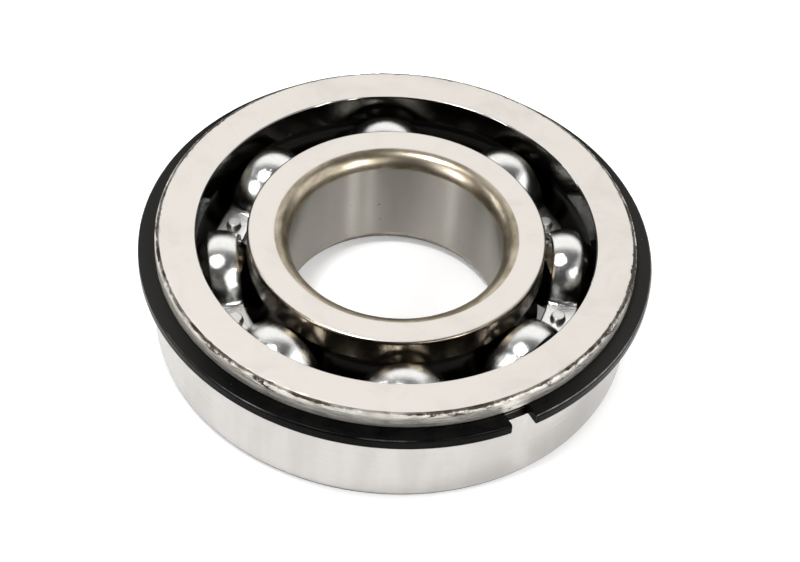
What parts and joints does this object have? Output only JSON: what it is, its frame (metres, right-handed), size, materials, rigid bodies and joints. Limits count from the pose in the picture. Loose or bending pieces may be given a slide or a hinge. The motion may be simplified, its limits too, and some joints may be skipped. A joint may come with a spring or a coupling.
{
  "type": "deep groove ball bearing",
  "caption": "Open single-row deep-groove ball bearing with a riveted sheet-steel cage and a snap ring in the outer ring.",
  "frame": {"origin": "on the axis, in the plane of the plain (no snap ring) side face, bottom centre of the box", "axes": "+Z along the bearing's axis, from the plain side to the snap-ring side; the snap ring's gap is centred 58.5 degrees from +X towards -Y"},
  "size_m": [0.0962, 0.0962, 0.023],
  "materials": {
    "outer_ring_steel": "ground, satin",
    "inner_ring_steel": "ground, satin",
    "ball_steel": "lapped, mirror",
    "cage_steel": "pressed and tumbled, bright",
    "rivet_steel": "satin",
    "black_oxide": "black oxide, oiled, semi-gloss"
  },
  "bodies": {
    "outer_ring": {"outer_ring": "outer_ring_steel"},
    "inner_ring": {"inner_ring": "inner_ring_steel"},
    "cage": {"cage_half_upper": "cage_steel", "cage_half_lower": "cage_steel", "rivet_1": "rivet_steel", "rivet_2": "rivet_steel", "rivet_3": "rivet_steel", "rivet_4": "rivet_steel", "rivet_5": "rivet_steel", "rivet_6": "rivet_steel", "rivet_7": "rivet_steel", "rivet_8": "rivet_steel"},
    "ball_1": {"ball_1": "ball_steel"},
    "ball_2": {"ball_2": "ball_steel"},
    "ball_3": {"ball_3": "ball_steel"},
    "ball_4": {"ball_4": "ball_steel"},
    "ball_5": {"ball_5": "ball_steel"},
    "ball_6": {"ball_6": "ball_steel"},
    "ball_7": {"ball_7": "ball_steel"},
    "ball_8": {"ball_8": "ball_steel"},
    "snap_ring": {"snap_ring": "black_oxide"}
  },
  "joints": [
    {"name": "inner_ring_spin", "type": "hinge", "parent": "outer_ring", "child": "inner_ring", "pos_m": [0, 0, 0.0115], "axis": [0, 0, 1], "continuous": true},
    {"name": "cage_spin", "type": "hinge", "parent": "outer_ring", "child": "cage", "pos_m": [0, 0, 0.0115], "axis": [0, 0, 1], "continuous": true},
    {"name": "ball_1_spin", "type": "hinge", "parent": "cage", "child": "ball_1", "pos_m": [0.0323, 0.00362, 0.0115], "axis": [0, 0, 1], "continuous": true},
    {"name": "ball_2_spin", "type": "hinge", "parent": "cage", "child": "ball_2", "pos_m": [0.02028, 0.0254, 0.0115], "axis": [0, 0, 1], "continuous": true},
    {"name": "ball_3_spin", "type": "hinge", "parent": "cage", "child": "ball_3", "pos_m": [-0.00362, 0.0323, 0.0115], "axis": [0, 0, 1], "continuous": true},
    {"name": "ball_4_spin", "type": "hinge", "parent": "cage", "child": "ball_4", "pos_m": [-0.0254, 0.02028, 0.0115], "axis": [0, 0, 1], "continuous": true},
    {"name": "ball_5_spin", "type": "hinge", "parent": "cage", "child": "ball_5", "pos_m": [-0.0323, -0.00362, 0.0115], "axis": [0, 0, 1], "continuous": true},
    {"name": "ball_6_spin", "type": "hinge", "parent": "cage", "child": "ball_6", "pos_m": [-0.02028, -0.0254, 0.0115], "axis": [0, 0, 1], "continuous": true},
    {"name": "ball_7_spin", "type": "hinge", "parent": "cage", "child": "ball_7", "pos_m": [0.00362, -0.0323, 0.0115], "axis": [0, 0, 1], "continuous": true},
    {"name": "ball_8_spin", "type": "hinge", "parent": "cage", "child": "ball_8", "pos_m": [0.0254, -0.02028, 0.0115], "axis": [0, 0, 1], "continuous": true},
    {"name": "snap_ring_turn", "type": "hinge", "parent": "outer_ring", "child": "snap_ring", "pos_m": [0, 0, 0.0115], "axis": [0, 0, 1], "continuous": true}
  ],
  "couplings": [
    {"joint": "cage_spin", "follows": "inner_ring_spin", "ratio": 0.38399},
    {"joint": "ball_1_spin", "follows": "inner_ring_spin", "ratio": -2.039},
    {"joint": "ball_2_spin", "follows": "inner_ring_spin", "ratio": -2.039},
    {"joint": "ball_3_spin", "follows": "inner_ring_spin", "ratio": -2.039},
    {"joint": "ball_4_spin", "follows": "inner_ring_spin", "ratio": -2.039},
    {"joint": "ball_5_spin", "follows": "inner_ring_spin", "ratio": -2.039},
    {"joint": "ball_6_spin", "follows": "inner_ring_spin", "ratio": -2.039},
    {"joint": "ball_7_spin", "follows": "inner_ring_spin", "ratio": -2.039},
    {"joint": "ball_8_spin", "follows": "inner_ring_spin", "ratio": -2.039}
  ]
}
